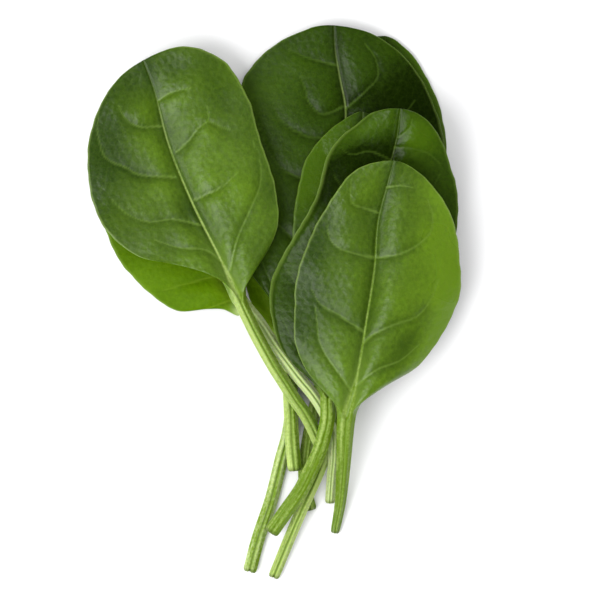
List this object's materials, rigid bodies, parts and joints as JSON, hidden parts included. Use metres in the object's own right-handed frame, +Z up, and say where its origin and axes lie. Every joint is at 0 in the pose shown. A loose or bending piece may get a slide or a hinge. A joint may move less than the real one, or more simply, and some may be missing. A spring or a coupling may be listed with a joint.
{
  "type": "spinach bunch",
  "caption": "Loose bunch of fresh spinach leaves lying flat, with smooth oval blades fanned over each other and long stalks crossing at one end.",
  "frame": {"origin": "on the table, under the middle of the bunch's plan box", "axes": "+Z up from the table; +Y from the cut ends of the stalks towards the blades, along the bunch's length; +X to the right seen from above"},
  "size_m": [0.0934, 0.1394, 0.0198],
  "materials": {
    "leaf_mid_green": "fresh leaf, waxy satin upper face with fine veins and a pale stalk",
    "leaf_deep_green": "fresh leaf, darker green, waxy satin upper face with fine veins and a pale stalk",
    "leaf_bright_green": "fresh leaf, light yellow-green, waxy satin upper face with fine veins and a pale stalk"
  },
  "bodies": {
    "root": {"back_under_leaf": "leaf_deep_green", "buried_leaf": "leaf_bright_green", "left_under_leaf": "leaf_bright_green", "back_leaf": "leaf_deep_green", "right_inner_leaf": "leaf_deep_green", "left_top_leaf": "leaf_mid_green", "right_folded_leaf": "leaf_deep_green", "right_top_leaf": "leaf_mid_green"}
  },
  "joints": []
}
